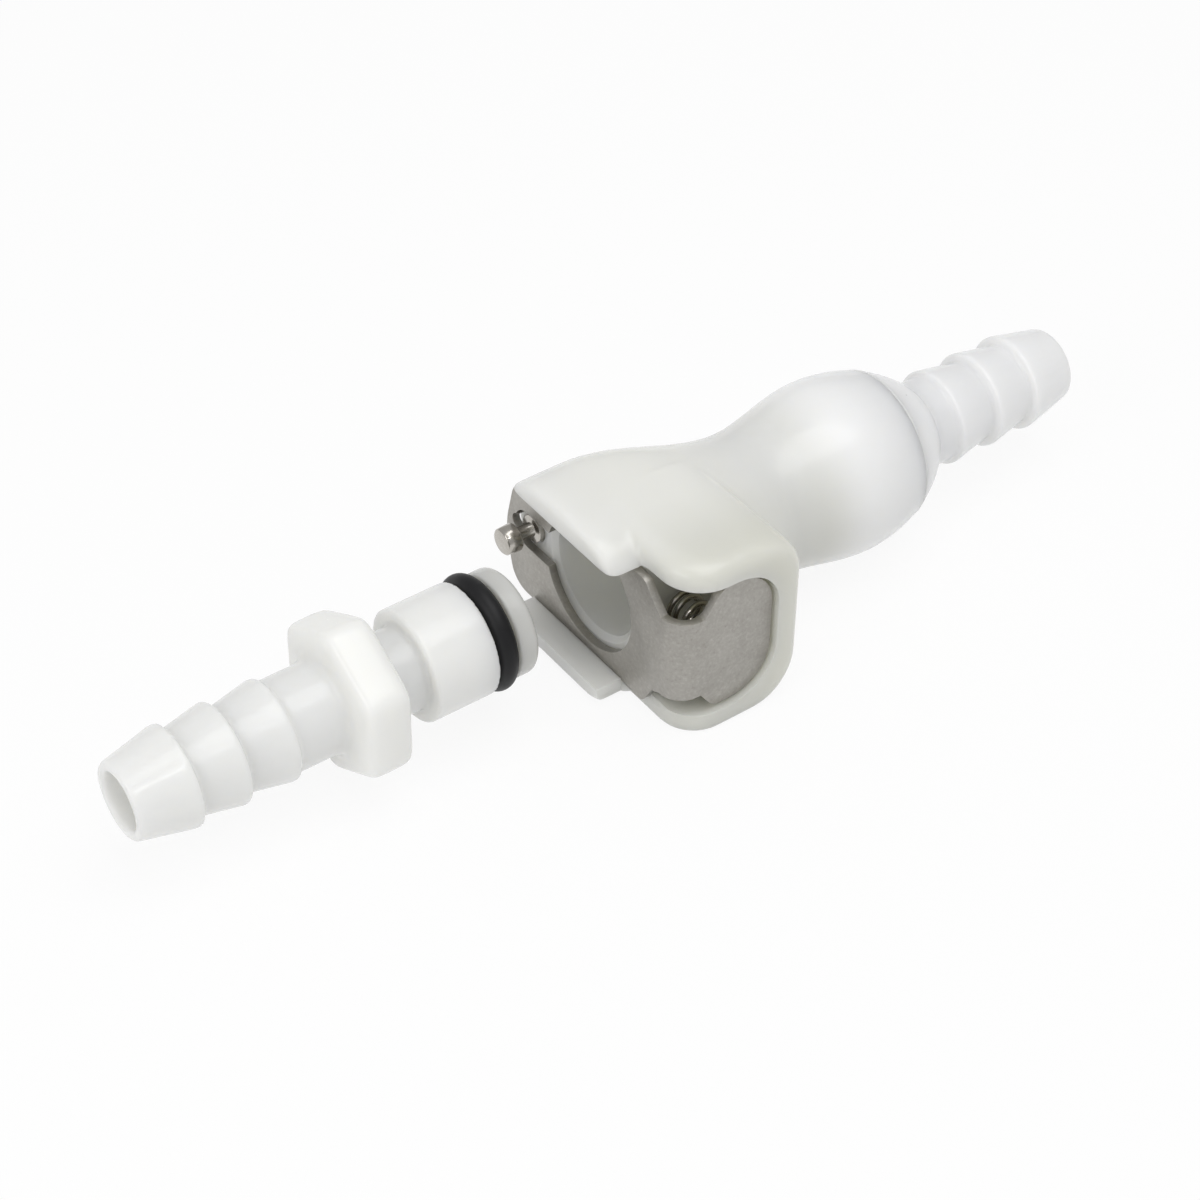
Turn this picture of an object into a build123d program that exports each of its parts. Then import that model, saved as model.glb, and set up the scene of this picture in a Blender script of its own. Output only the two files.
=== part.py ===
# Quick disconnect coupling for 1/4 in (6.4 mm) hose: a barbed insert and a latching coupling body.
# Millimetres. +X runs from the insert to the body along the flow axis, the thumb latch faces -Y,
# and the body lies on its flat -Z flank, so +Z is up.
import os

from build123d import *

os.makedirs("parts", exist_ok=True)

# ---- driving dimensions. Stations along the flow axis are measured from the latch plate's front ----
HOSE_CREST_R = 4.2  # barb crest, for hose of 6.4 mm inside diameter
HOSE_ROOT_R = 3.5
HOSE_TIP_R = 3.2
HOSE_BORE_R = 2.35
BARB_STEPS = (4.9, 9.0, 13.2)  # crest stations, measured from the hose end
CREST_LAND = 0.35
BARB_DROP = 0.15  # axial length of the steep face behind a crest

INSERT_TIP = -42.0
HEX_BACK = -24.0
HEX_FRONT = -19.9
HEX_FLATS = 12.3
GROOVE_R = 3.5
NOSE_BACK = -16.9
NOSE_R = 4.75
GLAND_BACK = -11.2
GLAND_FRONT = -9.1
GLAND_R = 3.2
NOSE_END = -7.25
END_DISC_R = 4.5
ORING_OUTER_R = 4.95

BODY_TIP = 49.5
FLANK = 8.4  # half thickness between the flat flanks
DRUM_R = 9.4
LIP_FRONT = -2.2
LIP_GAP = 6.45  # half opening between the lips
PLATE_T = 0.7
PLATE_HALF = 6.8
PLATE_END = 11.0  # far end of the latch plate while it is held open
SLOT_HALF = 6.95
SLOT_BACK = 0.8
SOCKET_R = 5.15
SOCKET_END = 10.9
SEAT_R = 3.1
SEAT_BACK = 12.6
CHAMBER_R = 4.9
NECK_R = 6.4
BULGE_R = 7.65
SPIGOT_START = 26.4
SPIGOT_R = 5.7
SEAM = 30.0

RIM = 12.8  # how far the thumb shroud reaches towards -Y
SHROUD_FRONT = 1.0
SHROUD_BACK = 12.1
PAD_FACE = 12.2
PAD_BACK = 9.25
PAD_HALF = 6.1
NECK_HALF = 3.6
POCKET_HALF = 6.4
POCKET_BACK = 9.6
POCKET_FLOOR = 6.9

PIN_Y = 7.6
PIN_HEAD_R = 1.25
PIN_NECK_R = 0.6
PIN_SHANK_R = 1.25
PIN_HEAD_FRONT = -3.2
PIN_HEAD_BACK = -1.7
PIN_SHOULDER = 0.35
PIN_SHANK_END = 3.6
PIN_HOLE_R = 1.33
PIN_HOLE_END = 7.2

INSERT_NECK_R = 3.8
LIP_ROUND = 1.5
DRUM_END = 2.5
NECK_X = 16.4
BULGE_X = 25.0
SEAM_R = 6.75
NECK_START = 34.0
BARB_NECK_R = 3.8
REAR_ROUND = 3.6
RIM_ROUND = 1.0
PAD_CORNER = 3.4
PAD_FLARE = 4.4
PIN_BOSS_R = 2.1
SLOT_FRONT = -0.05
SOCKET_MOUTH_R = 5.6
SPRING_SEAT = 0.4
LATCH_SPRING_X = 4.6
LATCH_SPRING_R = 1.45
LATCH_WIRE_R = 0.24
SPIGOT_BORE_R = 4.4
SPIDER_ARM = 1.4
SPIDER_DEPTH = 2.2
GUIDE_START = 22.5
GUIDE_R = 2.2
STEM_R = 1.2
STEM_END = 24.8
BEND_R = 2.2
END_BULGE = 1.0
SHOULDER = 9.1
KEYHOLE_Y = -0.6
KEYHOLE_R = 5.7
WIDE_SLOT_END = 7.65
WIDE_SLOT_HALF = 1.8
NECK_SLOT_END = 9.15
NECK_SLOT_HALF = 0.75
POPPET_FRONT = 7.8
POPPET_NOSE_R = 2.8
POPPET_RIB = 1.2
FLANGE_FRONT = 13.0
FLANGE_R = 4.5
FLANGE_T = 1.6
SEAL_RING_R = 3.75
SEAL_SECTION_R = 0.65
VALVE_SPRING_R = 3.3

# ---- frame: the origin is under the middle of the whole object, on the surface it lies on ----
mid_x = (INSERT_TIP + BODY_TIP) / 2
mid_y = (PLATE_END - RIM) / 2
hub = Vector(-mid_x, -mid_y, FLANK)  # the flow axis at the latch plate's front face
flow_axis = Axis(hub, (1, 0, 0))
lengthwise = Plane(origin=hub, x_dir=(1, 0, 0), z_dir=(0, -1, 0))  # local x = X, local y = Z


def across(station):
    """Plane square to the flow axis: local x = Y, local y = Z, normal +X."""
    return Plane(origin=hub + Vector(station, 0, 0), x_dir=(0, 1, 0), z_dir=(1, 0, 0))


def facing_thumb(reach):
    """Plane square to Y at a distance towards the thumb side: local x = X, local y = Z."""
    return Plane(origin=hub + Vector(0, -reach, 0), x_dir=(1, 0, 0), z_dir=(0, -1, 0))


def barb_outline(tip, inward):
    """Outer outline of the hose barb from its tip; inward is +1 or -1 along X."""
    points = [(tip, 0), (tip, HOSE_TIP_R)]
    for step in BARB_STEPS:
        crest = tip + inward * step
        points.append((crest - inward * CREST_LAND, HOSE_CREST_R))
        points.append((crest, HOSE_CREST_R))
        points.append((crest + inward * BARB_DROP, HOSE_ROOT_R))
    return points


# ---- insert: one moulding with barb, hexagon, latch groove, nose and O-ring gland ----
with BuildPart() as insert_body:
    with BuildSketch(lengthwise):
        with BuildLine():
            outline = barb_outline(INSERT_TIP, 1)[:-1]
            outline += [
                (INSERT_TIP + BARB_STEPS[-1] + BARB_DROP, INSERT_NECK_R),
                (HEX_BACK + 1, INSERT_NECK_R),
                (HEX_BACK + 1, GROOVE_R),
                (NOSE_BACK, GROOVE_R),
                (NOSE_BACK, NOSE_R),
                (GLAND_BACK, NOSE_R),
                (GLAND_BACK, GLAND_R),
                (GLAND_FRONT, GLAND_R),
                (GLAND_FRONT, END_DISC_R),
                (NOSE_END - 0.4, END_DISC_R),
                (NOSE_END, END_DISC_R - 0.4),
                (NOSE_END, 0),
            ]
            Polyline(*outline, close=True)
        make_face()
    revolve(axis=flow_axis)
    with BuildSketch(across(HEX_BACK)):
        RegularPolygon(radius=HEX_FLATS / 2, side_count=6, major_radius=False, rotation=30)
        fillet(vertices(), radius=0.8)
    extrude(amount=HEX_FRONT - HEX_BACK)
    nose_side = faces().filter_by(Axis.X).filter_by_position(Axis.X, HEX_FRONT - mid_x - 0.01, HEX_FRONT - mid_x + 0.01)
    chamfer(nose_side.edges().filter_by(GeomType.LINE), length=0.25)
    neck_root = faces().filter_by(Axis.X).filter_by_position(Axis.X, HEX_BACK - mid_x - 0.01, HEX_BACK - mid_x + 0.01)
    fillet(neck_root.edges().filter_by(GeomType.CIRCLE).sort_by(SortBy.RADIUS)[-1], radius=0.6)
    with BuildSketch(across(INSERT_TIP)):
        Circle(HOSE_BORE_R)
    extrude(amount=NOSE_END - INSERT_TIP, mode=Mode.SUBTRACT)
    hose_end = faces().sort_by(Axis.X)[0]
    fillet(hose_end.edges(), radius=0.3)
insert_body.part.label = "insert_body"
export_step(insert_body.part, "parts/insert_body.step")

# ---- O-ring on the insert's nose ----
nose_ring_section = (ORING_OUTER_R - GLAND_R) / 2
with BuildPart() as insert_oring:
    with BuildSketch(lengthwise):
        with Locations(((GLAND_BACK + GLAND_FRONT) / 2, GLAND_R + nose_ring_section)):
            Circle(nose_ring_section)
    revolve(axis=flow_axis)
insert_oring.part.label = "insert_oring"
export_step(insert_oring.part, "parts/insert_oring.step")

# ---- coupling body: one moulding with lips, latch slot, socket, valve chamber and thumb shroud ----
with BuildPart() as coupling_body:
    with BuildSketch(lengthwise):
        with BuildLine():
            Line((LIP_FRONT, 0), (LIP_FRONT, DRUM_R - LIP_ROUND))
            RadiusArc((LIP_FRONT, DRUM_R - LIP_ROUND), (LIP_FRONT + LIP_ROUND, DRUM_R), LIP_ROUND)
            Line((LIP_FRONT + LIP_ROUND, DRUM_R), (DRUM_END, DRUM_R))
            Spline(
                (DRUM_END, DRUM_R), (NECK_X, NECK_R), (BULGE_X, BULGE_R),
                tangents=((1, 0), (1, 0), (1, 0)),
            )
            Spline((BULGE_X, BULGE_R), (SEAM, SEAM_R), tangents=((1, 0), (1, -0.55)))
            Line((SEAM, SEAM_R), (SEAM, 0))
            Line((SEAM, 0), (LIP_FRONT, 0))
        make_face()
    revolve(axis=flow_axis)
    # flat flanks
    with BuildSketch(across(LIP_FRONT - 1)):
        Rectangle(60, 2 * FLANK)
    extrude(amount=SEAM - LIP_FRONT + 2, mode=Mode.INTERSECT)
    # thumb shroud: a hood with rounded rear corners
    with BuildSketch(facing_thumb(0)):
        with BuildLine():
            Polyline(
                (SHROUD_FRONT, -FLANK), (SHROUD_BACK, -FLANK), (SHROUD_BACK, FLANK), (SHROUD_FRONT, FLANK),
                close=True,
            )
        make_face()
        fillet(vertices().group_by(Axis.X)[-1], radius=REAR_ROUND)
    extrude(amount=RIM)
    rim_edges = faces().sort_by(Axis.Y)[0].edges()
    fillet(rim_edges, radius=RIM_ROUND)
    # boss around the pin hole
    with BuildSketch(across(SLOT_BACK)):
        with Locations((PIN_Y, 0)):
            Circle(PIN_BOSS_R)
    extrude(amount=PIN_HOLE_END + 0.8 - SLOT_BACK)
    # pocket under the thumb pad
    with BuildSketch(facing_thumb(POCKET_FLOOR)):
        with BuildLine():
            Polyline(
                (LIP_FRONT - 1, -POCKET_HALF), (POCKET_BACK, -POCKET_HALF), (POCKET_BACK, POCKET_HALF),
                (LIP_FRONT - 1, POCKET_HALF), close=True,
            )
        make_face()
        fillet(vertices().group_by(Axis.X)[-1], radius=PAD_CORNER + POCKET_BACK - PAD_BACK)
    extrude(amount=RIM, mode=Mode.SUBTRACT)
    # open channel between the lips, and the slot that the latch plate slides in
    with BuildSketch(across(LIP_FRONT - 1)):
        Rectangle(60, 2 * LIP_GAP)
    extrude(amount=1 - LIP_FRONT, mode=Mode.SUBTRACT)
    with BuildSketch(across(SLOT_FRONT)):
        Rectangle(60, 2 * SLOT_HALF)
    extrude(amount=SLOT_BACK - SLOT_FRONT, mode=Mode.SUBTRACT)
    # socket, valve seat, chamber and the counterbore for the barb's spigot
    with BuildSketch(lengthwise):
        with BuildLine():
            Polyline(
                (LIP_FRONT - 1, 0), (LIP_FRONT - 1, SOCKET_MOUTH_R), (SLOT_BACK, SOCKET_MOUTH_R),
                (SLOT_BACK + SOCKET_MOUTH_R - SOCKET_R, SOCKET_R), (SOCKET_END, SOCKET_R),
                (SOCKET_END, SEAT_R), (SEAT_BACK, SEAT_R), (SEAT_BACK, CHAMBER_R),
                (SPIGOT_START - 0.1, CHAMBER_R), (SPIGOT_START - 0.1, SPIGOT_R + 0.03),
                (SEAM, SPIGOT_R + 0.03), (SEAM, 0), close=True,
            )
        make_face()
    revolve(axis=flow_axis, mode=Mode.SUBTRACT)
    # pin hole and the seat of the latch spring
    with BuildSketch(across(SLOT_BACK)):
        with Locations((PIN_Y, 0)):
            Circle(PIN_HOLE_R)
    extrude(amount=PIN_HOLE_END - SLOT_BACK, mode=Mode.SUBTRACT)
    with BuildSketch(facing_thumb(POCKET_FLOOR - SPRING_SEAT)):
        with Locations((LATCH_SPRING_X, 0)):
            Circle(LATCH_SPRING_R + 0.5)
    extrude(amount=SPRING_SEAT + 1, mode=Mode.SUBTRACT)
coupling_body.part.label = "coupling_body"
export_step(coupling_body.part, "parts/coupling_body.step")

# ---- barb terminator: the moulding that closes the valve chamber, with its spider and hose barb ----
with BuildPart() as barb_terminator:
    with BuildSketch(lengthwise):
        with BuildLine():
            Line((SPIGOT_START, 0), (SPIGOT_START, SPIGOT_R))
            Line((SPIGOT_START, SPIGOT_R), (SEAM, SPIGOT_R))
            Line((SEAM, SPIGOT_R), (SEAM, SEAM_R))
            Spline((SEAM, SEAM_R), (NECK_START, BARB_NECK_R), tangents=((1, -0.55), (0.75, -1)))
            barb = barb_outline(BODY_TIP, -1)[:-1]
            barb.append((BODY_TIP - BARB_STEPS[-1] - BARB_DROP, BARB_NECK_R))
            Polyline((NECK_START, BARB_NECK_R), *reversed(barb))
            Line((BODY_TIP, 0), (SPIGOT_START, 0))
        make_face()
    revolve(axis=flow_axis)
    hose_end = faces().sort_by(Axis.X)[-1]
    fillet(hose_end.edges(), radius=0.5)
    # bore: wide behind the spider, tapering into the hose bore
    with BuildSketch(lengthwise):
        with BuildLine():
            Polyline(
                (SPIGOT_START, 0), (SPIGOT_START, SPIGOT_BORE_R), (SEAM, SPIGOT_BORE_R),
                (NECK_START, HOSE_BORE_R), (BODY_TIP, HOSE_BORE_R), (BODY_TIP, 0), close=True,
            )
        make_face()
    revolve(axis=flow_axis, mode=Mode.SUBTRACT)
    # spider: a guide sleeve for the poppet stem on four arms
    with BuildSketch(across(SPIGOT_START)):
        Rectangle(2 * SPIGOT_BORE_R + 0.4, SPIDER_ARM)
        Rectangle(SPIDER_ARM, 2 * SPIGOT_BORE_R + 0.4)
    extrude(amount=SPIDER_DEPTH)
    with BuildSketch(across(GUIDE_START)):
        Circle(GUIDE_R)
    extrude(amount=SPIGOT_START + SPIDER_DEPTH - GUIDE_START)
    with BuildSketch(across(GUIDE_START)):
        Circle(STEM_R + 0.08)
    extrude(amount=SPIGOT_START + SPIDER_DEPTH - GUIDE_START, mode=Mode.SUBTRACT)
barb_terminator.part.label = "barb_terminator"
export_step(barb_terminator.part, "parts/barb_terminator.step")

# ---- thumb latch: one sheet of stainless steel, punched as a keyhole plate and bent into a pad ----
bend_reach = PAD_FACE - BEND_R
with BuildPart() as thumb_latch:
    with BuildSketch(across(0)):
        with BuildLine():
            far_corner = PLATE_END - END_BULGE
            ThreePointArc((far_corner, -PLATE_HALF), (PLATE_END, 0), (far_corner, PLATE_HALF))
            Polyline(
                (far_corner, PLATE_HALF), (-SHOULDER, PLATE_HALF),
                (-SHOULDER - 0.4, NECK_HALF + 0.6), (-bend_reach, NECK_HALF), (-bend_reach, -NECK_HALF),
                (-SHOULDER - 0.4, -NECK_HALF - 0.6), (-SHOULDER, -PLATE_HALF), (far_corner, -PLATE_HALF),
            )
        make_face()
        fillet([v for v in vertices() if abs(v.Y) > PLATE_HALF - 0.01], radius=0.9)
        with Locations((KEYHOLE_Y, 0)):
            Circle(KEYHOLE_R, mode=Mode.SUBTRACT)
        with Locations(((WIDE_SLOT_END + KEYHOLE_Y) / 2, 0)):
            Rectangle(WIDE_SLOT_END - KEYHOLE_Y, 2 * WIDE_SLOT_HALF, mode=Mode.SUBTRACT)
        with Locations((WIDE_SLOT_END, 0)):
            Circle(WIDE_SLOT_HALF, mode=Mode.SUBTRACT)
        with Locations(((NECK_SLOT_END + WIDE_SLOT_END) / 2, 0)):
            Rectangle(NECK_SLOT_END - WIDE_SLOT_END, 2 * NECK_SLOT_HALF, mode=Mode.SUBTRACT)
        with Locations((NECK_SLOT_END, 0)):
            Circle(NECK_SLOT_HALF, mode=Mode.SUBTRACT)
    extrude(amount=PLATE_T)
    # bend
    with BuildSketch(Plane(origin=hub + Vector(0, -bend_reach, 0), x_dir=(1, 0, 0), z_dir=(0, -1, 0))):
        with Locations((PLATE_T / 2, 0)):
            Rectangle(PLATE_T, 2 * NECK_HALF)
    revolve(axis=Axis(hub + Vector(BEND_R, -bend_reach, 0), (0, 0, 1)), revolution_arc=90)
    # pad
    with BuildSketch(facing_thumb(PAD_FACE - PLATE_T)):
        with BuildLine():
            Polyline(
                (BEND_R - 0.01, -NECK_HALF), (BEND_R + 0.3, -NECK_HALF), (PAD_FLARE, -PAD_HALF),
                (PAD_BACK, -PAD_HALF), (PAD_BACK, PAD_HALF), (PAD_FLARE, PAD_HALF),
                (BEND_R + 0.3, NECK_HALF), (BEND_R - 0.01, NECK_HALF), close=True,
            )
        make_face()
        fillet([v for v in vertices() if abs(v.X - PAD_BACK) < 0.01], radius=PAD_CORNER)
        fillet([v for v in vertices() if abs(v.X - PAD_FLARE) < 0.01], radius=1.8)
    extrude(amount=PLATE_T)
thumb_latch.part.label = "thumb_latch"
export_step(thumb_latch.part, "parts/thumb_latch.step")

# ---- latch pin: a turned steel pin with head, neck and shank ----
pin_axis = Axis(hub + Vector(0, PIN_Y, 0), (1, 0, 0))
with BuildPart() as latch_pin:
    with BuildSketch(Plane(origin=hub + Vector(0, PIN_Y, 0), x_dir=(1, 0, 0), z_dir=(0, -1, 0))):
        with BuildLine():
            Polyline(
                (PIN_HEAD_FRONT, 0), (PIN_HEAD_FRONT, PIN_HEAD_R - 0.12),
                (PIN_HEAD_FRONT + 0.12, PIN_HEAD_R), (PIN_HEAD_BACK, PIN_HEAD_R),
                (PIN_HEAD_BACK, PIN_NECK_R), (PIN_SHOULDER, PIN_NECK_R),
                (PIN_SHOULDER, PIN_SHANK_R), (PIN_SHANK_END, PIN_SHANK_R), (PIN_SHANK_END, 0),
                close=True,
            )
        make_face()
    revolve(axis=pin_axis)
latch_pin.part.label = "latch_pin"
export_step(latch_pin.part, "parts/latch_pin.step")

# ---- valve poppet: pushed open by the insert's nose ----
with BuildPart() as valve_poppet:
    with BuildSketch(across(POPPET_FRONT)):
        Rectangle(2 * POPPET_NOSE_R, POPPET_RIB)
        Rectangle(POPPET_RIB, 2 * POPPET_NOSE_R)
    extrude(amount=FLANGE_FRONT - POPPET_FRONT)
    with BuildSketch(across(FLANGE_FRONT)):
        Circle(FLANGE_R)
    extrude(amount=FLANGE_T)
    with BuildSketch(across(FLANGE_FRONT + FLANGE_T)):
        Circle(STEM_R)
    extrude(amount=STEM_END - FLANGE_FRONT - FLANGE_T)
    chamfer(faces().sort_by(Axis.X)[-1].edges(), length=0.3)
    with BuildSketch(lengthwise):
        with Locations((SEAT_BACK + SEAL_SECTION_R, SEAL_RING_R)):
            Circle(SEAL_SECTION_R)
    revolve(axis=flow_axis, mode=Mode.SUBTRACT)
valve_poppet.part.label = "valve_poppet"
export_step(valve_poppet.part, "parts/valve_poppet.step")

# ---- seal on the poppet ----
with BuildPart() as poppet_seal:
    with BuildSketch(lengthwise):
        with Locations((SEAT_BACK + SEAL_SECTION_R, SEAL_RING_R)):
            Circle(SEAL_SECTION_R - 0.01)
    revolve(axis=flow_axis)
poppet_seal.part.label = "poppet_seal"
export_step(poppet_seal.part, "parts/poppet_seal.step")


def coil_spring(start, direction, coil_r, wire_r, length, turns):
    """Round-wire compression spring between two seats, wound along an axis."""
    seat = start + direction * wire_r
    run = length - 2 * wire_r
    with BuildPart() as spring:
        with BuildLine():
            wire = Helix(run / turns, run, coil_r, center=seat, direction=direction)
        with BuildSketch(Plane(origin=wire @ 0, z_dir=wire % 0)):
            Circle(wire_r)
        sweep(is_frenet=True)
    return spring


# ---- springs ----
latch_spring = coil_spring(
    hub + Vector(LATCH_SPRING_X, -(POCKET_FLOOR - SPRING_SEAT), 0), Vector(0, -1, 0),
    LATCH_SPRING_R, LATCH_WIRE_R, PAD_FACE - PLATE_T - POCKET_FLOOR + SPRING_SEAT, 4.5,
)
latch_spring.part.label = "latch_spring"
export_step(latch_spring.part, "parts/latch_spring.step")

pin_spring = coil_spring(
    hub + Vector(PIN_SHANK_END, PIN_Y, 0), Vector(1, 0, 0),
    0.95, 0.15, PIN_HOLE_END - PIN_SHANK_END, 4.5,
)
pin_spring.part.label = "pin_spring"
export_step(pin_spring.part, "parts/pin_spring.step")

valve_spring = coil_spring(
    hub + Vector(FLANGE_FRONT + FLANGE_T, 0, 0), Vector(1, 0, 0),
    VALVE_SPRING_R, 0.3, SPIGOT_START - FLANGE_FRONT - FLANGE_T, 5.5,
)
valve_spring.part.label = "valve_spring"
export_step(valve_spring.part, "parts/valve_spring.step")
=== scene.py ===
# A quick disconnect coupling for 6.4 mm hose, in two halves: a barbed insert with its O-ring, and a
# coupling body whose sheet steel thumb latch is held open by a pin. Metres, in the frame of the model:
# +X runs from the insert to the body along the flow axis, and the thumb latch faces -Y.
import math

import bmesh
import bpy
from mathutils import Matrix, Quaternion, Vector
from mathutils.geometry import tessellate_polygon


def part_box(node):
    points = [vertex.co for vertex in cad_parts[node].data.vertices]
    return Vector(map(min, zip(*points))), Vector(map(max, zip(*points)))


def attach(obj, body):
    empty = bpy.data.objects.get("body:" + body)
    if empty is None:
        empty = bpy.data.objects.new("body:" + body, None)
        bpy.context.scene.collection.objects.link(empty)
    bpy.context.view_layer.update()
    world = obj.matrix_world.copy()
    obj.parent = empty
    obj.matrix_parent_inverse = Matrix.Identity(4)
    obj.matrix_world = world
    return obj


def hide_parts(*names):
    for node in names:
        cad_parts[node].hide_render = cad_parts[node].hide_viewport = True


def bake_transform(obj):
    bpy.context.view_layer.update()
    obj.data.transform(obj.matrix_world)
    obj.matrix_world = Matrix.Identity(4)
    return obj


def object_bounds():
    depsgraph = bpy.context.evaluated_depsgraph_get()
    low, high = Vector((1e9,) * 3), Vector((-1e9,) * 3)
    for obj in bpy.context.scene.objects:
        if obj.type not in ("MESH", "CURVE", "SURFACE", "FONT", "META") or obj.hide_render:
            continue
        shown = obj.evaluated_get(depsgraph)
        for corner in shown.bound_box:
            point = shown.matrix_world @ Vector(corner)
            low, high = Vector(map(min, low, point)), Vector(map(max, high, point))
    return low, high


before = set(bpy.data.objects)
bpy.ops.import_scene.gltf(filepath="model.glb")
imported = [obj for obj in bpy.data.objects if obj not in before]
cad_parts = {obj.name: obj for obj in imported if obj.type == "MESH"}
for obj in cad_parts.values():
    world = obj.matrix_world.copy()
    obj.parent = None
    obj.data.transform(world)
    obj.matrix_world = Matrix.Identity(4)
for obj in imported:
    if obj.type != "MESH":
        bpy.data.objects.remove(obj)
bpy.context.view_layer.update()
MM = 0.001


# ---- insert: one moulding of natural acetal with a hose barb, a hexagon with soft corners, a latch
# groove and a nose. It is milky and slightly translucent, with the fine texture of its mould and a few
# specks of dust, and its nose beyond the dark O-ring is painted greyer, a painted shade.
class Socket:
    """A shader socket that takes part in arithmetic: each operator adds a Math node."""

    def __init__(self, finish, socket):
        self.finish = finish
        self.socket = socket

    def math(self, operation, *values):
        return self.finish.add("ShaderNodeMath", {"operation": operation}, dict(enumerate(values)))

    def __add__(self, other):
        return self.math("ADD", self, other)

    def __sub__(self, other):
        return self.math("SUBTRACT", self, other)

    def __rsub__(self, other):
        return self.math("SUBTRACT", other, self)

    def __mul__(self, other):
        return self.math("MULTIPLY", self, other)

    def __lt__(self, other):
        return self.math("LESS_THAN", self, other)

    __radd__ = __add__
    __rmul__ = __mul__


class Finish:
    """One material and the nodes that make it."""

    def __init__(self, name):
        self.material = bpy.data.materials.new(name)
        self.material.use_nodes = True
        self.tree = self.material.node_tree
        self.tree.nodes.clear()

    def add(self, kind, settings=None, values=None, out=0):
        """Adds a node: its settings first, then a value or a link for each named or numbered socket."""
        node = self.tree.nodes.new(kind)
        for name, setting in (settings or {}).items():
            setattr(node, name, setting)
        for name, value in (values or {}).items():
            if isinstance(value, Socket):
                self.tree.links.new(value.socket, node.inputs[name])
            else:
                node.inputs[name].default_value = value
        return Socket(self, node.outputs[out]) if len(node.outputs) else None

    def point(self, step):
        """The place on the piece, counted in steps of so many millimetres."""
        place = self.add("ShaderNodeTexCoord", out="Object")
        return self.add(
            "ShaderNodeVectorMath", {"operation": "SCALE"}, {0: place, "Scale": 1 / (step * MM)},
        )

    def rise(self, axis, start, stop, last):
        """A value that grows smoothly from 0 to last as a point goes from start to stop along an axis."""
        place = self.add("ShaderNodeTexCoord", out="Object")
        along = self.add("ShaderNodeSeparateXYZ", None, {0: place}, out=axis)
        return self.add(
            "ShaderNodeMapRange", {"interpolation_type": "SMOOTHSTEP"},
            {0: along, 1: start, 2: stop, 3: 0.0, 4: last},
        )

    def noise(self, step, detail=2.0, roughness=0.5):
        """Soft noise from 0 to 1 whose lumps are about step millimetres across."""
        return self.add(
            "ShaderNodeTexNoise", None,
            {"Vector": self.point(step), "Scale": 1.0, "Detail": detail, "Roughness": roughness},
        )

    def mix(self, share, first, second):
        """A colour that goes from the first to the second as share goes from 0 to 1."""
        colours = {6: first, 7: second}
        for place, colour in colours.items():
            if not isinstance(colour, Socket):
                colours[place] = (*colour, 1)
        return self.add("ShaderNodeMix", {"data_type": "RGBA"}, {"Factor": share, **colours}, out=2)

    def bump(self, height, depth, strength):
        """A surface normal from a height of 0 to 1 that stands for so many millimetres."""
        return self.add(
            "ShaderNodeBump", None, {"Height": height, "Distance": depth * MM, "Strength": strength},
        )

    def surface(self, **values):
        """Ends the finish in a Principled shader; an underscore in a name stands for a space."""
        named = {name.replace("_", " "): value for name, value in values.items()}
        shader = self.add("ShaderNodeBsdfPrincipled", None, named)
        self.add("ShaderNodeOutputMaterial", None, {"Surface": shader})
        return self.material


DUST = (0.16, 0.15, 0.13)
DUST_SPACING = 5.0
DUST_SIZE = 0.022


def acetal(name, colour, shade, *painted_zones):
    """The finish of a moulding that clouds between two colours, with zones of another colour.

    A zone is painted light or shade: the axis, start and stop of its rise, how strong it gets, and its colour.
    """
    finish = Finish(name)
    tone = finish.mix(finish.noise(9.0, 3.0), shade, colour)
    # painted light and shade: each zone paints a lighter or darker colour along an axis
    for axis, start, stop, strength, painted_tone in painted_zones:
        tone = finish.mix(finish.rise(axis, start, stop, strength), tone, painted_tone)
    dust = finish.add(
        "ShaderNodeTexVoronoi", {"feature": "F1"},
        {"Vector": finish.point(DUST_SPACING), "Scale": 1.0, "Randomness": 1.0},
    )
    tone = finish.mix((dust < DUST_SIZE) * 0.6, tone, DUST)
    grain = finish.noise(0.25)
    ripple = finish.noise(2.6, 1.0)
    return finish.surface(
        Base_Color=tone, Roughness=grain * 0.12 + 0.18, IOR=1.48,
        Subsurface_Weight=0.7, Subsurface_Radius=(1.0, 0.97, 0.88), Subsurface_Scale=5.0 * MM,
        Normal=finish.bump(grain * 0.25 + ripple * 0.75, 0.02, 0.6),
    )


def new_piece(name, mesh):
    piece = bpy.data.objects.new(name, mesh)
    bpy.context.scene.collection.objects.link(piece)
    return piece


def applied(piece):
    """Turns what the modifiers make of a piece into its mesh."""
    bpy.context.view_layer.update()
    made = bpy.data.meshes.new_from_object(piece.evaluated_get(bpy.context.evaluated_depsgraph_get()))
    piece.modifiers.clear()
    piece.data = made
    return piece


def even_mesh(piece, voxel):
    """Covers a piece with even faces of so many millimetres, which also joins its volumes."""
    step = piece.modifiers.new("even_mesh", "REMESH")
    step.mode = "VOXEL"
    step.voxel_size = voxel * MM
    step.use_smooth_shade = True
    return applied(piece)


def soften(piece, rounds, is_soft=None):
    """Smooths a mesh, everywhere or where is_soft says so of a point."""
    step = piece.modifiers.new("soft_edges", "SMOOTH")
    step.factor = 0.5
    step.iterations = rounds
    if is_soft:
        group = piece.vertex_groups.new(name="soft")
        group.add([vertex.index for vertex in piece.data.vertices if is_soft(vertex.co)], 1.0, "REPLACE")
        step.vertex_group = "soft"
    return applied(piece)


def smooth_shaded(piece, crease):
    """Shades a piece smooth, apart from creases sharper than so many degrees."""
    for face in piece.data.polygons:
        face.use_smooth = True
    piece.data.set_sharp_from_angle(angle=math.radians(crease))


def stand_for(piece, node, *finishes):
    """Puts a piece in the place of a CAD node, with its finishes."""
    piece.data.materials.clear()
    for finish in finishes:
        piece.data.materials.append(finish)
    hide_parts(node)


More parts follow.
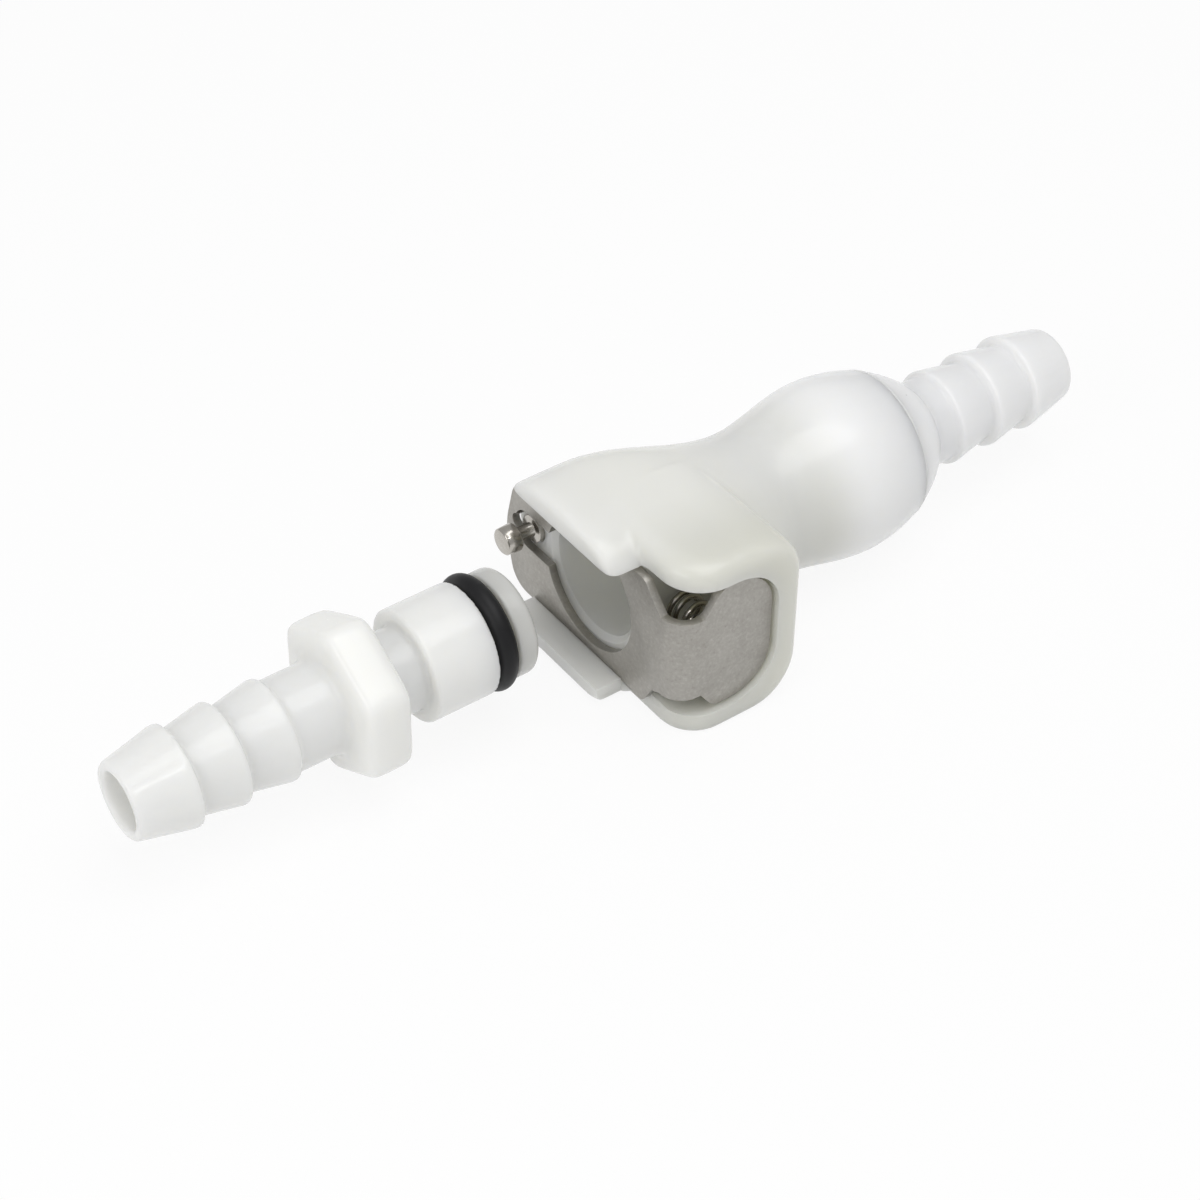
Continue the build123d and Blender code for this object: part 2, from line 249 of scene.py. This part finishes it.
insert_low, insert_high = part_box("insert_body")
ring_low, ring_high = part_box("insert_oring")
AXIS_Y = (insert_low.y + insert_high.y) / 2
AXIS_Z = (insert_low.z + insert_high.z) / 2
HEXAGON_START = insert_low.x + 18 * MM
HEXAGON_STOP = insert_low.x + 22.1 * MM
HEXAGON_CORNER = 7.35 * MM
CORNER_LEFT = 0.2


def on_hexagon(point):
    """True on the outside of the hexagon and the fillet behind it."""
    radius = math.hypot(point.y - AXIS_Y, point.z - AXIS_Z)
    return HEXAGON_START - 1.6 * MM < point.x < HEXAGON_STOP + 0.3 * MM and radius > 3.5 * MM


insert = even_mesh(new_piece("insert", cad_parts["insert_body"].data.copy()), 0.18)
for vertex in insert.data.vertices:
    spoke = Vector((vertex.co.y - AXIS_Y, vertex.co.z - AXIS_Z))
    if spoke.length > HEXAGON_CORNER:
        spoke *= (HEXAGON_CORNER + (spoke.length - HEXAGON_CORNER) * CORNER_LEFT) / spoke.length
        vertex.co.y = AXIS_Y + spoke.x
        vertex.co.z = AXIS_Z + spoke.y
soften(insert, 140, on_hexagon)
soften(insert, 2)
ring_middle = (ring_low.x + ring_high.x) / 2
stand_for(insert, "insert_body", acetal(
    "natural_acetal", (0.87, 0.87, 0.84), (0.83, 0.83, 0.795),
    # painted shade: the nose beyond the O-ring is painted grey
    (0, ring_middle - 0.3 * MM, ring_middle + 0.1 * MM, 0.85, (0.5, 0.5, 0.48)),
))
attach(insert, "insert")


# ---- O-ring: black nitrile rubber, pressed in a mould and stretched into the gland of the insert's nose.
# Its skin is smooth and a little uneven in gloss from handling. The valve's seal is of the same rubber.
def paint(node, material):
    """Gives a CAD node its finish."""
    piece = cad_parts[node]
    for place in piece.material_slots:
        place.link = "OBJECT"
        place.material = material


rubber = Finish("nitrile_rubber")
smear = rubber.noise(1.2, 3.0)
rubber_finish = rubber.surface(
    Base_Color=rubber.mix(smear, (0.004, 0.004, 0.005), (0.009, 0.009, 0.01)),
    Roughness=smear * 0.2 + 0.38, Specular_IOR_Level=0.3, Normal=rubber.bump(smear, 0.01, 0.5),
)
paint("insert_oring", rubber_finish)

# ---- coupling body: one thick acetal moulding with soft edges outside: a drum that narrows to a neck and
# swells over the valve, with the hood of the thumb latch on its side. Its volumes are joined and softened
# first, and the crisp slot, channel, pocket and socket are cut into them. Stations run from the slot.
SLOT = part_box("thumb_latch")[0].x
FLANK = 8.4
DRUM_R, NECK_R, BULGE_R = 9.4, 6.4, 7.65
DRUM_STOP, NECK, BULGE, SEAM = 2.5, 16.4, 25.0, 30.0
DOME = 6.5
HOOD_FRONT, HOOD_BACK, HOOD_CORNER, RIM = 0.7, 12.1, 4.2, 12.65
PIN_OUT = 7.75
BEYOND = 20  # further from the axis than any face of the body


def place(station, thumb, z):
    """A point from its station and its distances towards the thumb and up from the flow axis."""
    return Vector((SLOT + station * MM, AXIS_Y - thumb * MM, AXIS_Z + z * MM))


def skin(name, rings):
    """A closed volume from rings of points, with its two ends covered."""
    count = len(rings[0])
    last = (len(rings) - 1) * count
    faces = [tuple(range(count)), tuple(range(last, last + count))[::-1]]
    for ring in range(0, last, count):
        for here in range(count):
            beside = (here + 1) % count
            faces.append((ring + here, ring + count + here, ring + count + beside, ring + beside))
    mesh = bpy.data.meshes.new(name)
    mesh.from_pydata([place(*point) for ring in rings for point in ring], [], faces)
    level = bmesh.new()
    level.from_mesh(mesh)
    bmesh.ops.recalc_face_normals(level, faces=level.faces)
    level.to_mesh(mesh)
    level.free()
    return new_piece(name, mesh)


def lathe(name, profile, out=0.0, sides=128):
    """A volume of (station, radius) points turned about a line beside the flow axis, away from the thumb."""
    angles = [step * 2 * math.pi / sides for step in range(sides)]
    return skin(name, [
        [(station, radius * math.cos(angle) - out, radius * math.sin(angle)) for angle in angles]
        for station, radius in profile
    ])


def prism(name, outline, start, stop):
    """An outline of (station, z) points, drawn out from one distance towards the thumb to another."""
    return skin(name, [[(station, thumb, z) for station, z in outline] for thumb in (start, stop)])


def block(name, stations, thumbs, heights):
    """A box between two stations, two distances towards the thumb and two heights."""
    return skin(name, [
        [(stations[0], thumbs[0], z), (stations[1], thumbs[0], z), (stations[1], thumbs[1], z),
         (stations[0], thumbs[1], z)] for z in heights
    ])


def arc(middle, radius, start, stop, steps):
    """Points of an arc about (x, y), from one angle to another."""
    angles = [start + (stop - start) * step / steps for step in range(steps + 1)]
    return [(middle[0] + radius * math.cos(angle), middle[1] + radius * math.sin(angle)) for angle in angles]


def rounded(corners, steps=8):
    """A closed outline from corners of (x, y, radius)."""
    outline = []
    for index, (x, y, radius) in enumerate(corners):
        if not radius:
            outline.append((x, y))
            continue
        here = Vector((x, y))
        before = (Vector(corners[index - 1][:2]) - here).normalized()
        after = (Vector(corners[(index + 1) % len(corners)][:2]) - here).normalized()
        half = before.angle(after) / 2
        middle = here + (before + after).normalized() * radius / math.sin(half)
        first = here + before * radius / math.tan(half) - middle
        last = here + after * radius / math.tan(half) - middle
        start = math.atan2(first.y, first.x)
        sweep = (math.atan2(last.y, last.x) - start + math.pi) % (2 * math.pi) - math.pi
        outline += arc(middle, radius, start, start + sweep, steps)
    return outline


def eased(start, stop, share):
    """Goes smoothly from start to stop as share goes from 0 to 1."""
    return start + (stop - start) * share * share * (3 - 2 * share)


def pressed(z, station):
    """Presses the drum's sides flat: softly above, tighter below, where it lies, and more at the lower lip."""
    start, stop = (7.4, 9.4) if z > 0 else (8.0, 8.8)
    if z < 0:
        lift = 0.45 * min(1.0, max(0.0, 1 - station))
        start -= lift
        stop -= lift
    over = abs(z) - start
    if over <= 0:
        return z
    over = min(over, stop - start)
    return math.copysign(start + over - over * over / (2 * (stop - start)), z)


profile = [(-2.45, 8.9), (-2.25, 9.25), (-1.9, DRUM_R), (-0.5, DRUM_R), (1.2, DRUM_R), (DRUM_STOP, DRUM_R)]
for step in range(1, 17):
    profile.append((DRUM_STOP + (NECK - DRUM_STOP) * step / 16, eased(DRUM_R, NECK_R, step / 16)))
for step in range(1, 13):
    profile.append((NECK + (BULGE - NECK) * step / 12, eased(NECK_R, BULGE_R, step / 12)))
for step in range(1, 9):
    profile.append((BULGE + DOME * step / 8, BULGE_R - 0.95 * (step / 6.15) ** 2))
body = lathe("coupling", profile)
for vertex in body.data.vertices:
    height = pressed((vertex.co.z - AXIS_Z) / MM, (vertex.co.x - SLOT) / MM)
    vertex.co.z = AXIS_Z + height * MM

HOOD_LAYERS = 48
hood_layers = []
for layer in range(HOOD_LAYERS + 1):
    z = -FLANK * math.cos(math.pi * layer / HOOD_LAYERS)
    edge_round, tip_round = (1.3, 3.6) if z > 0 else (0.5, 3.2)
    edge = max(0.0, abs(z) - FLANK + edge_round)
    inset = edge_round - math.sqrt(max(0.0, edge_round ** 2 - edge ** 2))
    corner = max(0.0, abs(z) - FLANK + HOOD_CORNER)
    rear = HOOD_BACK - HOOD_CORNER + math.sqrt(max(0.0, HOOD_CORNER ** 2 - corner ** 2))
    rear = max(rear - inset, 7.0)
    hood_layers.append([(station, thumb, z) for station, thumb in rounded([
        (HOOD_FRONT + inset, 0, 0), (HOOD_FRONT + inset, RIM - inset, min(tip_round, (rear - 1) * 0.6)),
        (rear, RIM - inset, 1.2), (rear, 0, 0),
    ])])
hood = skin("hood", hood_layers)

# the foot blends the hood into the neck: round on the thumb's side, and pressed to the neck elsewhere
foot = lathe("foot", [
    (9.0, 9.6), (10.5, 9.6), (12.1, 9.4), (12.5, 8.85), (13.0, 8.35), (13.7, 7.75), (14.4, 7.25),
    (15.4, 6.75), (16.4, 6.5), (17.6, 6.3),
])
for vertex in foot.data.vertices:
    station = (vertex.co.x - SLOT) / MM
    thumb, z = (AXIS_Y - vertex.co.y) / MM, (vertex.co.z - AXIS_Z) / MM
    along = min(1.0, max(0.0, (station - DRUM_STOP) / (NECK - DRUM_STOP)))
    shrink = (eased(DRUM_R, NECK_R, along) - 0.05) / math.hypot(thumb, z)
    vertex.co.z = AXIS_Z + z * shrink * MM
    if thumb < 0:
        vertex.co.y = AXIS_Y - thumb * shrink * MM
boss = lathe("boss", [(0.9, 2.6), (7.6, 2.6), (8.4, 1.5)], out=PIN_OUT, sides=32)

outer = bmesh.new()
for volume in (body, hood, foot, boss):
    outer.from_mesh(volume.data)
for volume in (hood, foot, boss):
    bpy.data.objects.remove(volume)
outer.to_mesh(body.data)
outer.free()
even_mesh(body, 0.2)
soften(body, 14)
soften(body, 26, lambda point: point.z > AXIS_Z and point.x < SLOT + 6 * MM)
half_height = max(abs(vertex.co.z - AXIS_Z) for vertex in body.data.vertices)
for vertex in body.data.vertices:
    vertex.co.z = AXIS_Z + (vertex.co.z - AXIS_Z) * FLANK * MM / half_height

socket_profile = [
    (-6, 5.6), (0.8, 5.6), (1.25, 5.15), (10.9, 5.15), (10.9, 3.1), (12.6, 3.1), (12.6, 4.9), (26.3, 4.9),
    (26.3, 5.73), (33, 5.73),
]
pocket = rounded([(-6, -6.4, 0), (9.6, -6.4, 4.3), (9.6, 6.4, 4.3), (-6, 6.4, 0)], 12)
slot = rounded([(-0.05, -6.9, 0.4), (0.8, -6.9, 0.4), (0.8, 6.5, 0.4), (-0.05, 6.5, 0.4)])
spring_seat = arc((4.3, 0), 1.95, 0, 2 * math.pi, 32)[:-1]
cutters = [
    lathe("socket", socket_profile, sides=96),
    prism("pocket", pocket, 6.9, BEYOND),
    prism("slot", slot, -BEYOND, BEYOND),
    block("channel", (-6, 0.3), (-BEYOND, BEYOND), (-6.45, 6.45)),
    prism("spring_seat", spring_seat, 6.5, 8),
    block("lip_end", (-6, -0.02), (5.2, BEYOND), (-BEYOND, -5)),
    lathe("pin_hole", [(0.5, 1.33), (7.2, 1.33)], out=PIN_OUT, sides=32),
    block("seam", (SEAM, 40), (-BEYOND, BEYOND), (-BEYOND, BEYOND)),
]
for cutter in cutters:
    cut = body.modifiers.new(cutter.name, "BOOLEAN")
    cut.operation = "DIFFERENCE"
    cut.solver = "MANIFOLD"
    cut.object = cutter
applied(body)
for cutter in cutters:
    bpy.data.objects.remove(cutter)
smooth_shaded(body, 40)
stand_for(body, "coupling_body", acetal(
    "body_acetal", (0.8, 0.8, 0.765), (0.765, 0.765, 0.725),
    # painted shade: darker towards the thumb's side, over the hood
    (1, AXIS_Y - 2 * MM, AXIS_Y - 12 * MM, 0.85, (0.63, 0.63, 0.565)),
    # painted light: lighter from the neck over the bulge towards the seam
    (0, SLOT + 19 * MM, SLOT + 24 * MM, 0.9, (0.94, 0.94, 0.92)),
))
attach(body, "coupling")

# ---- barb terminator: the acetal moulding that closes the valve chamber and carries the hose barb. It is
# bonded into the body by its spigot, and its edges have the small softness of a moulding.
terminator = even_mesh(new_piece("terminator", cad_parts["barb_terminator"].data.copy()), 0.14)
soften(terminator, 3)
# painted light: the terminator's acetal is painted lighter than the body's, like the body's lit bulge
stand_for(terminator, "barb_terminator", acetal(
    "terminator_acetal", (0.95, 0.95, 0.935), (0.93, 0.93, 0.91),
))
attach(terminator, "coupling")

# ---- thumb latch: one piece of stainless sheet, punched, bent and tumbled. Its faces are dull and finely
# speckled, and its edges are rolled and painted bright: partly polish, partly a painted highlight. The plate
# has a keyhole for the nose and the pin, and its outlines are in distances of (away from the thumb, z) on
# the plate and of (station, z) on the pad.
SHEET = 0.7
NECK_TOP, NECK_LOW = 3.6, 4.3
BEND_START, PAD_FACE = 10.0, 12.2
BEND_R = PAD_FACE - BEND_START
KEYHOLE_R, LOBE_R, PIN_SLOT_R = 5.7, 1.8, 0.75

sheet = Finish("tumbled_stainless")
grit = sheet.noise(0.16, 3.0, 0.75)
speckle = sheet.noise(0.3, 3.0, 0.7)
steel = sheet.mix(sheet.noise(2.2, 4.0, 0.6), (0.34, 0.325, 0.297), (0.45, 0.435, 0.405))
steel = sheet.mix((speckle - 0.5) * 1.6, steel, (0.6, 0.59, 0.56))
steel = sheet.mix((0.42 - speckle) * 2.4, steel, (0.22, 0.205, 0.185))
sheet_finish = sheet.surface(
    Base_Color=steel, Metallic=0.92, Roughness=grit * 0.3 + 0.34, Normal=sheet.bump(grit, 0.012, 0.7),
)
polish_and_highlight = Finish("polished_edge_and_highlight")
wear = polish_and_highlight.noise(0.3, 3.0)
# partly painted highlight: the rolled edges are painted much brighter than the steel
edge_polish_and_highlight = polish_and_highlight.surface(
    Base_Color=polish_and_highlight.mix(wear, (0.66, 0.64, 0.6), (0.86, 0.84, 0.8)), Metallic=1.0,
    Roughness=wear * 0.15 + 0.14,
)
plate = rounded([
    (9.6, -6.8, 2.2), (10.95, -1.6, 8.0), (9.75, 3.4, 3.0), (7.0, 5.95, 3.0), (-7.9, 5.95, 0.9),
    (-9.1, 4.5, 0.9), (-BEND_START, NECK_TOP, 0), (-BEND_START, -NECK_LOW, 0), (-9.1, -4.7, 0.5),
    (-7.9, -6.8, 0.7),
])
lobe = math.asin(LOBE_R / KEYHOLE_R)
mouth = math.asin(PIN_SLOT_R / LOBE_R)
keyhole = arc((-0.6, 0), KEYHOLE_R, lobe, 2 * math.pi - lobe, 64)
keyhole += arc((PIN_OUT, 0), LOBE_R, -math.pi / 2, -mouth, 8)
keyhole += arc((PIN_OUT + 1.4, 0), PIN_SLOT_R, -math.pi / 2, math.pi / 2, 12)
keyhole += arc((PIN_OUT, 0), LOBE_R, mouth, math.pi / 2, 8)
pad = rounded([
    (BEND_R, -NECK_LOW, 0), (BEND_R + 0.3, -NECK_LOW, 0), (3.8, -6.1, 1.4), (9.25, -6.1, 3.9),
    (9.25, 6.1, 3.9), (4.4, 6.1, 1.8), (BEND_R + 0.5, NECK_TOP, 0.8), (BEND_R, NECK_TOP, 0),
])
metal = bmesh.new()


def fill(outlines, to_point):
    """Fills an outline, less the holes that follow it, with faces of the sheet."""
    corners = [metal.verts.new(to_point(*point)) for outline in outlines for point in outline]
    flat = [[Vector((*point, 0)) for point in outline] for outline in outlines]
    for triangle in tessellate_polygon(flat):
        metal.faces.new([corners[index] for index in triangle])


fill([plate, keyhole], lambda away, z: place(0, -away, z))
fill([pad], lambda station, z: place(station, PAD_FACE, z))
BEND_STEPS = 16
bend = []
for step in range(BEND_STEPS + 1):
    turn = step / BEND_STEPS * math.pi / 2
    station, thumb = BEND_R * (1 - math.cos(turn)), BEND_START + BEND_R * math.sin(turn)
    bend.append([metal.verts.new(place(station, thumb, z)) for z in (NECK_TOP, -NECK_LOW)])
for first, second in zip(bend, bend[1:]):
    metal.faces.new((first[0], first[1], second[1], second[0]))
bmesh.ops.remove_doubles(metal, verts=metal.verts, dist=0.001 * MM)
metal.normal_update()
for face in metal.faces:
    away = face.calc_center_median() - place(BEND_R, BEND_START, 0)
    if face.normal.dot(Vector((min(away.x, 0), min(away.y, 0), 0))) < 0:
        face.normal_flip()
latch = new_piece("latch_sheet", bpy.data.meshes.new("thumb_latch_sheet"))
metal.to_mesh(latch.data)
metal.free()

thick = latch.modifiers.new("sheet", "SOLIDIFY")
thick.thickness = SHEET * MM
thick.offset = -1
rolled = latch.modifiers.new("tumbled_edges", "BEVEL")
rolled.width = 0.13 * MM
rolled.segments = 2
rolled.limit_method = "ANGLE"
rolled.angle_limit = math.radians(50)
rolled.material = 1
latch.data.materials.append(sheet_finish)
latch.data.materials.append(edge_polish_and_highlight)
applied(latch)
smooth_shaded(latch, 35)
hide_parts("thumb_latch")
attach(latch, "latch")

# ---- latch pin: turned stainless with fine lathe marks. It has a head, a thin neck for the narrow end of
# the keyhole, and a shank in the body whose shoulder holds the latch open.
turned = Finish("turned_stainless")
marks = turned.noise(0.35)
pin_finish = turned.surface(
    Base_Color=turned.mix(marks, (0.42, 0.395, 0.36), (0.55, 0.53, 0.49)), Metallic=1.0,
    Roughness=marks * 0.1 + 0.18, Normal=turned.bump(marks, 0.004, 0.3),
)
pin_profile = [
    (-2.6, 0.95), (-2.57, 1.05), (-2.48, 1.15), (-1.32, 1.22), (-1.22, 1.16), (-1.2, 1.08), (-1.2, 0.62),
    (-1.15, 0.6), (0.33, 0.6), (0.35, 0.62), (0.35, 1.14), (0.41, 1.22), (3.5, 1.25), (3.6, 1.15),
]
pin = lathe("pin", pin_profile, out=PIN_OUT, sides=48)
smooth_shaded(pin, 50)
stand_for(pin, "latch_pin", pin_finish)
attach(pin, "pin")

# ---- springs: drawn stainless wire, coiled with closed ends: under the thumb pad, behind the pin and
# behind the valve. Each stands between a seat that keeps still and a piece that moves.
drawn = Finish("spring_wire")
scratches = drawn.noise(0.3, 3.0)
wire_finish = drawn.surface(
    Base_Color=drawn.mix(scratches, (0.45, 0.42, 0.38), (0.62, 0.6, 0.56)), Metallic=1.0,
    Roughness=scratches * 0.1 + 0.16,
)
TURN_STEPS = 36
WIRE_SIDES = 12


def coil(node, axis, seat, moving, radius, wire, turns):
    """A compression spring in place of a CAD one, with one closed turn at each end."""
    low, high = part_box(node)
    middle = (low + high) / 2
    side_axis, up_axis = [other for other in range(3) if other != axis]
    sign = 1 if moving > seat else -1
    closed = wire * 1.04
    pitch = (abs(moving - seat) - wire - 2 * closed) / turns
    steps = int((turns + 2) * TURN_STEPS)
    points = []
    for step in range(steps + 1):
        turn = step / TURN_STEPS
        open_turns = min(max(turn - 1, 0), turns)
        along = wire / 2 + closed * (turn - open_turns) + pitch * open_turns
        for side in range(WIRE_SIDES):
            round_wire = side * 2 * math.pi / WIRE_SIDES
            reach = radius + wire / 2 * math.cos(round_wire)
            point = [0.0, 0.0, 0.0]
            point[axis] = seat + sign * (along + wire / 2 * math.sin(round_wire))
            point[side_axis] = middle[side_axis] + reach * math.cos(turn * 2 * math.pi)
            point[up_axis] = middle[up_axis] + reach * math.sin(turn * 2 * math.pi)
            points.append(point)
    faces = []
    for ring in range(0, steps * WIRE_SIDES, WIRE_SIDES):
        for here in range(WIRE_SIDES):
            beside = (here + 1) % WIRE_SIDES
            faces.append((
                ring + here, ring + beside, ring + WIRE_SIDES + beside, ring + WIRE_SIDES + here,
            ))
    end = range(steps * WIRE_SIDES, (steps + 1) * WIRE_SIDES)
    faces += [tuple(range(WIRE_SIDES))[::-1], tuple(end)]
    mesh = bpy.data.meshes.new(node + "_coils")
    mesh.from_pydata(points, [], faces)
    for face in mesh.polygons:
        face.use_smooth = len(face.vertices) == 4
    spring = new_piece(node + "_coils", mesh)
    stand_for(spring, node, wire_finish)
    start, stop = middle.copy(), middle.copy()
    start[axis] = seat + sign * 1.5 * wire
    stop[axis] = moving - sign * 1.5 * wire
    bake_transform(spring)


low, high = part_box("latch_spring")
coil("latch_spring", 1, high.y, low.y, 1.5 * MM, 0.5 * MM, 3.2)
low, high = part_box("pin_spring")
coil("pin_spring", 0, high.x, low.x, 0.95 * MM, 0.3 * MM, 4)
low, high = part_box("valve_spring")
coil("valve_spring", 0, high.x, low.x, 3.3 * MM, 0.6 * MM, 5)

# ---- valve: an acetal poppet that the insert's nose pushes off its seat, with a rubber seal in a groove.
# They are trapped in the body by the terminator, and only the poppet's face shows, deep in the socket.
paint("valve_poppet", acetal("valve_acetal", (0.84, 0.84, 0.82), (0.8, 0.8, 0.78)))
paint("poppet_seal", rubber_finish)

# ---- studio: a pale floor that the object lies on, a wide soft light overhead, a weaker one from the
# insert's side, and a small one that puts highlights on the round forms.
low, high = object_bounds()
centre = (low + high) / 2
span = (high - low).length
FLOOR_REACH = 12 * span

floor_mesh = bpy.data.meshes.new("floor")
floor_mesh.from_pydata(
    [(side * FLOOR_REACH, end * FLOOR_REACH, low.z) for side, end in ((-1, -1), (1, -1), (1, 1), (-1, 1))],
    [], [(0, 1, 2, 3)],
)
floor = new_piece("floor", floor_mesh)
paper = Finish("paper")
seen = paper.add("ShaderNodeLightPath", out="Is Camera Ray")
mirrored = paper.add("ShaderNodeLightPath", out="Is Glossy Ray")
lit = paper.add("ShaderNodeBsdfDiffuse", None, {"Color": (0.88, 0.88, 0.88, 1)})
glow = paper.add("ShaderNodeEmission", None, {"Color": (1, 1, 1, 1), "Strength": 1.0})
backdrop = paper.add("ShaderNodeMixShader", None, {0: (seen + mirrored) * 0.9, 1: lit, 2: glow})
paper.add("ShaderNodeOutputMaterial", None, {"Surface": backdrop})
floor_mesh.materials.append(paper.material)

world = bpy.data.worlds.new("studio")
bpy.context.scene.world = world
world.use_nodes = True
sky = world.node_tree.nodes["Background"]
sky.inputs["Color"].default_value = (1, 1, 1, 1)
sky.inputs["Strength"].default_value = 0.55


def direction(azimuth, elevation):
    """Towards a place round the object: azimuth 0 is the thumb's side, and 90 is beyond the body."""
    turn, tilt = math.radians(azimuth), math.radians(elevation)
    return Vector((math.sin(turn) * math.cos(tilt), -math.cos(turn) * math.cos(tilt), math.sin(tilt)))


def softbox(name, azimuth, elevation, size, power):
    """A square area light that faces the object; its size and power go with the object's size."""
    data = bpy.data.lights.new(name, "AREA")
    data.size = size * span
    data.energy = power * span * span
    light = new_piece(name, data)
    back = direction(azimuth, elevation)
    light.location = centre + back * 3 * span
    light.rotation_mode = "QUATERNION"
    light.rotation_quaternion = back.to_track_quat("Z", "Y")


softbox("overhead", 20, 78, 2.2, 36)
softbox("highlight", -25, 52, 0.2, 4)
softbox("left", -80, 30, 1.5, 17)

# ---- camera: above the insert's end, looking along the object at the latch and the pin, and turned a
# little about its own line of sight.
camera_data = bpy.data.cameras.new("camera")
camera_data.lens = 90.4
camera_data.clip_start = 0.01
camera = new_piece("camera", camera_data)
aim = Vector((SLOT - 0.18 * MM, -1.53 * MM, AXIS_Z))
towards = direction(-36.65, 41.86)
camera.location = aim + towards * 237.5 * MM
camera.rotation_mode = "QUATERNION"
camera.rotation_quaternion = towards.to_track_quat("Z", "Y") @ Quaternion((0, 0, 1), 0.0153)
bpy.context.scene.camera = camera
bpy.context.scene.view_settings.view_transform = "Standard"
